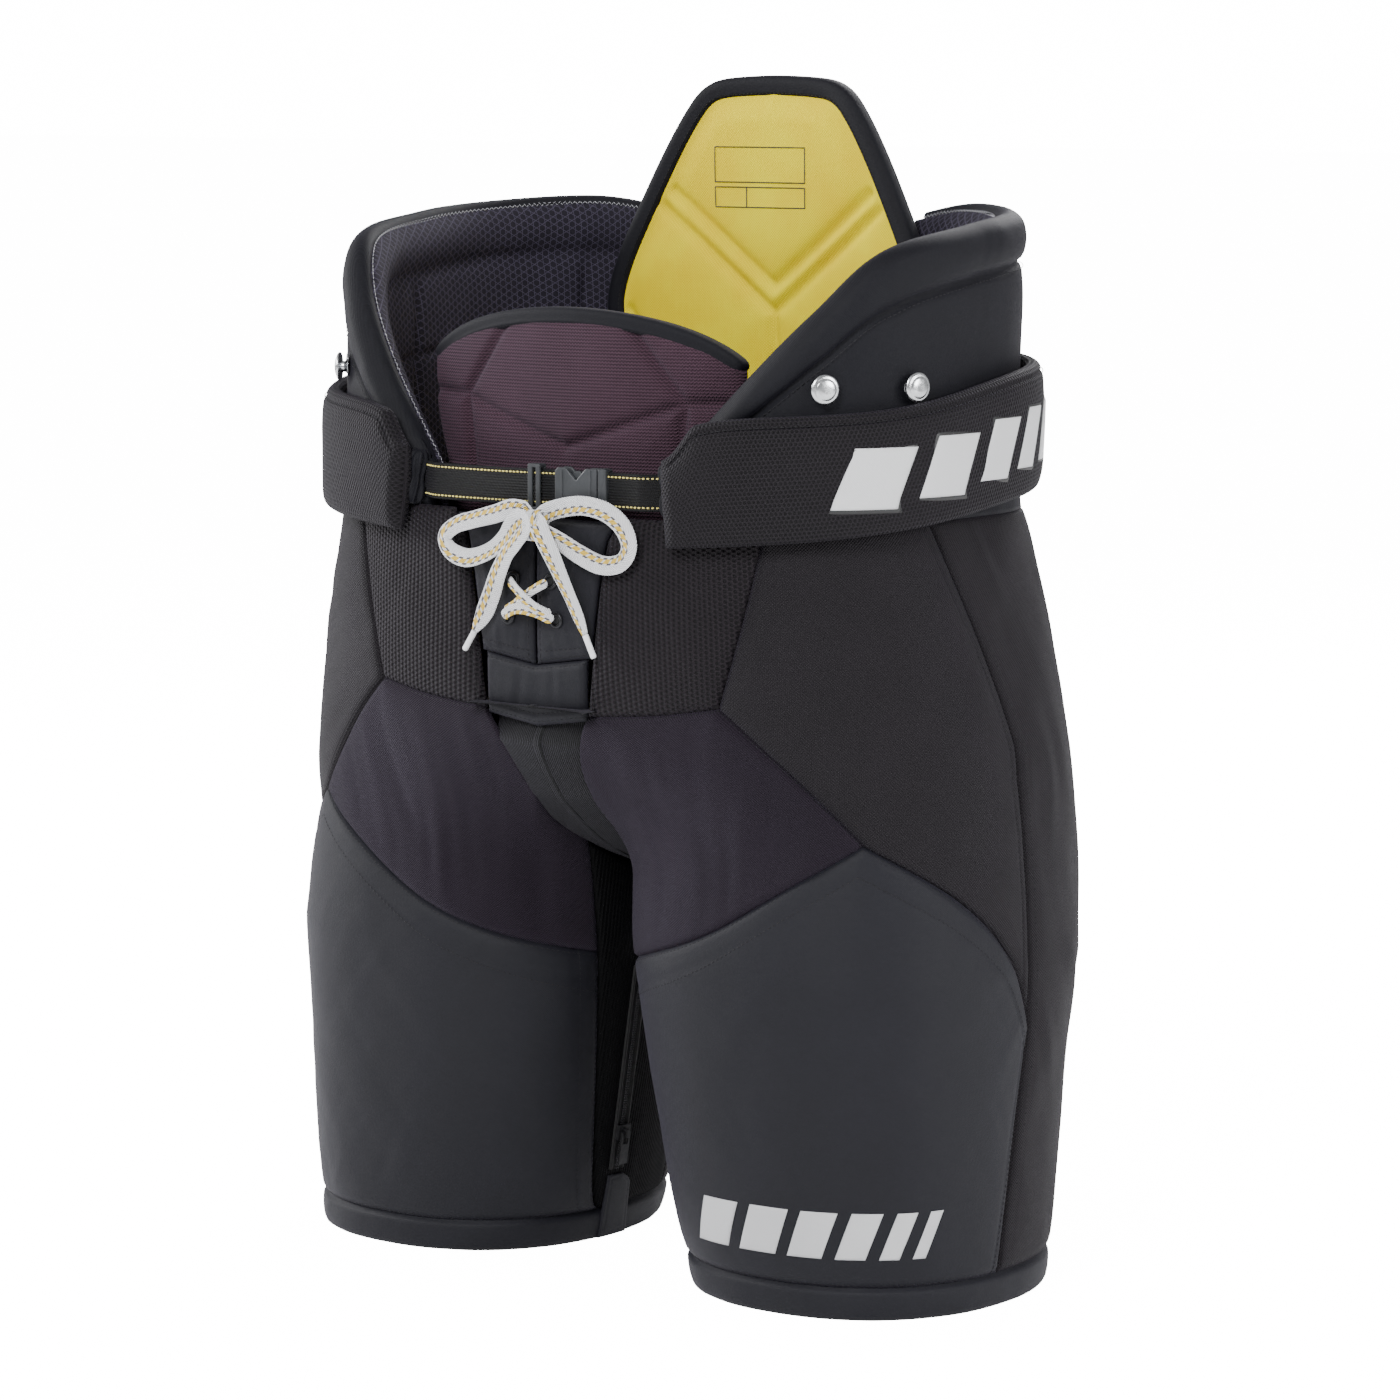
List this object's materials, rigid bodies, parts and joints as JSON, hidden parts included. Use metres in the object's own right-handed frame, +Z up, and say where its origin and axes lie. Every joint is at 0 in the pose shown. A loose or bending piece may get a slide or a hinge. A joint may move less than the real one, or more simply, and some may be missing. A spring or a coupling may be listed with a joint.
{
  "type": "hockey pants",
  "caption": "Padded ice hockey pants: laced fly, side-release belt, hip guards with padded bands, belly pad, yellow spine pad, and two padded legs with inner zips.",
  "frame": {"origin": "on the floor under the hems, midway between the legs", "axes": "+Z up, the front faces -Y, +X is the wearer's left"},
  "size_m": [0.4806, 0.2979, 0.693],
  "materials": {
    "nylon": "smooth slate nylon, low sheen",
    "guard_nylon": "smooth slate nylon over foam",
    "stretch_woven": "purple-charcoal stretch weave",
    "hip_mesh": "coarse black mesh",
    "side_weave": "coarse black pack cloth",
    "wing_weave": "coarse woven band with raised white bars",
    "belly_knit": "purple-brown knit with sewn channels",
    "gusset_knit": "dark knit",
    "yellow_woven": "bright yellow woven face, black binding",
    "liner_print": "black liner with a fine triangle print",
    "pad_foam": "plastic plate on closed-cell foam",
    "buckle_plastic": "moulded acetal",
    "belt_webbing": "black webbing, dotted yellow edge stitches",
    "lace": "white flat braid with a yellow and black tracer",
    "aglet": "clear plastic tip",
    "nickel": "polished nickel",
    "zip": "black coil zip"
  },
  "bodies": {
    "pelvis": {"hip_mesh_left": "hip_mesh", "hip_mesh_right": "hip_mesh", "hip_side_left": "side_weave", "hip_side_right": "side_weave", "seat_panel": "side_weave", "fly_flap_left": "nylon", "fly_flap_right": "nylon", "fly_tongue": "nylon", "fly_yoke": "nylon", "crotch_gusset": "gusset_knit", "stretch_panel_left": "stretch_woven", "stretch_panel_right": "stretch_woven", "hip_guard_left": "guard_nylon", "hip_guard_right": "guard_nylon", "guard_liner_left": "liner_print", "guard_liner_right": "liner_print", "wing_band_left": "wing_weave", "wing_band_right": "wing_weave", "button_front_left": "nickel", "button_front_right": "nickel", "button_rear_left": "nickel", "button_rear_right": "nickel", "belly_pad": "belly_knit", "tailbone_pad": "pad_foam", "webbing_right": "belt_webbing", "webbing_left": "belt_webbing", "buckle_female": "buckle_plastic", "buckle_male": "buckle_plastic", "lace_right": "lace", "lace_left": "lace", "lace_crossing": "lace", "aglet_left": "aglet", "aglet_right": "aglet"},
    "left_leg": {"thigh_front_left": "nylon", "thigh_side_left": "side_weave", "thigh_rear_left": "side_weave", "inner_thigh_left": "stretch_woven", "hem_band_left": "nylon", "leg_liner_left": "liner_print", "thigh_plate_left": "pad_foam", "zip_chain_left": "zip"},
    "right_leg": {"thigh_front_right": "nylon", "thigh_side_right": "side_weave", "thigh_rear_right": "side_weave", "inner_thigh_right": "stretch_woven", "hem_band_right": "nylon", "leg_liner_right": "liner_print", "thigh_plate_right": "pad_foam", "zip_chain_right": "zip"},
    "spine_guard": {"spine_pad": "yellow_woven", "spine_plate": "buckle_plastic"},
    "prong_upper": {"prong_upper": "buckle_plastic"},
    "prong_lower": {"prong_lower": "buckle_plastic"},
    "tri_glide": {"tri_glide": "buckle_plastic"},
    "zip_slider_left": {"zip_slider_left": "zip"},
    "zip_pull_left": {"zip_pull_left": "zip"},
    "hem_tab_left": {"hem_tab_left": "nylon"},
    "zip_slider_right": {"zip_slider_right": "zip"},
    "zip_pull_right": {"zip_pull_right": "zip"},
    "hem_tab_right": {"hem_tab_right": "nylon"}
  },
  "joints": [
    {"name": "hip_left", "type": "hinge", "parent": "pelvis", "child": "left_leg", "pos_m": [0.115, 0, 0.31], "axis": [-1, 0, 0], "range_deg": [-6, 30], "deforming": ["stretch_panel_left", "crotch_gusset"]},
    {"name": "hip_right", "type": "hinge", "parent": "pelvis", "child": "right_leg", "pos_m": [-0.115, 0, 0.31], "axis": [-1, 0, 0], "range_deg": [-6, 30], "deforming": ["stretch_panel_right"]},
    {"name": "spine_flex", "type": "hinge", "parent": "pelvis", "child": "spine_guard", "pos_m": [0, 0.105, 0.463], "axis": [1, 0, 0], "range_deg": [0, 9]},
    {"name": "press_upper", "type": "hinge", "parent": "pelvis", "child": "prong_upper", "pos_m": [0.0453, -0.13, 0.4711], "axis": [0, -1, 0], "range_deg": [0, 6], "stiffness_Nm_per_rad": 0.1},
    {"name": "press_lower", "type": "hinge", "parent": "pelvis", "child": "prong_lower", "pos_m": [0.0453, -0.13, 0.4569], "axis": [0, 1, 0], "range_deg": [0, 6], "stiffness_Nm_per_rad": 0.1},
    {"name": "glide_slide", "type": "slide", "parent": "pelvis", "child": "tri_glide", "axis": [1, 0, 0], "range_m": [-0.06, 0.009]},
    {"name": "zip_run_left", "type": "slide", "parent": "left_leg", "child": "zip_slider_left", "axis": [-0.1904, -0.0534, 0.9803], "range_m": [0, 0.098]},
    {"name": "pull_swing_left", "type": "hinge", "parent": "zip_slider_left", "child": "zip_pull_left", "pos_m": [0.02522, -0.01513, 0.0671], "axis": [-0.1391, 0.9899, 0.0269], "range_deg": [0, 175]},
    {"name": "tab_open_left", "type": "hinge", "parent": "left_leg", "child": "hem_tab_left", "pos_m": [0.04038, -0.01835, 0.02], "axis": [0, 0, 1], "range_deg": [0, 45]},
    {"name": "zip_run_right", "type": "slide", "parent": "right_leg", "child": "zip_slider_right", "axis": [0.1904, -0.0534, 0.9803], "range_m": [0, 0.098]},
    {"name": "pull_swing_right", "type": "hinge", "parent": "zip_slider_right", "child": "zip_pull_right", "pos_m": [-0.02522, -0.01513, 0.0671], "axis": [-0.1391, -0.9899, -0.0269], "range_deg": [0, 175]},
    {"name": "tab_open_right", "type": "hinge", "parent": "right_leg", "child": "hem_tab_right", "pos_m": [-0.04038, -0.01835, 0.02], "axis": [0, 0, -1], "range_deg": [0, 45]}
  ],
  "couplings": [
    {"joint": "press_lower", "follows": "press_upper", "ratio": 1}
  ]
}
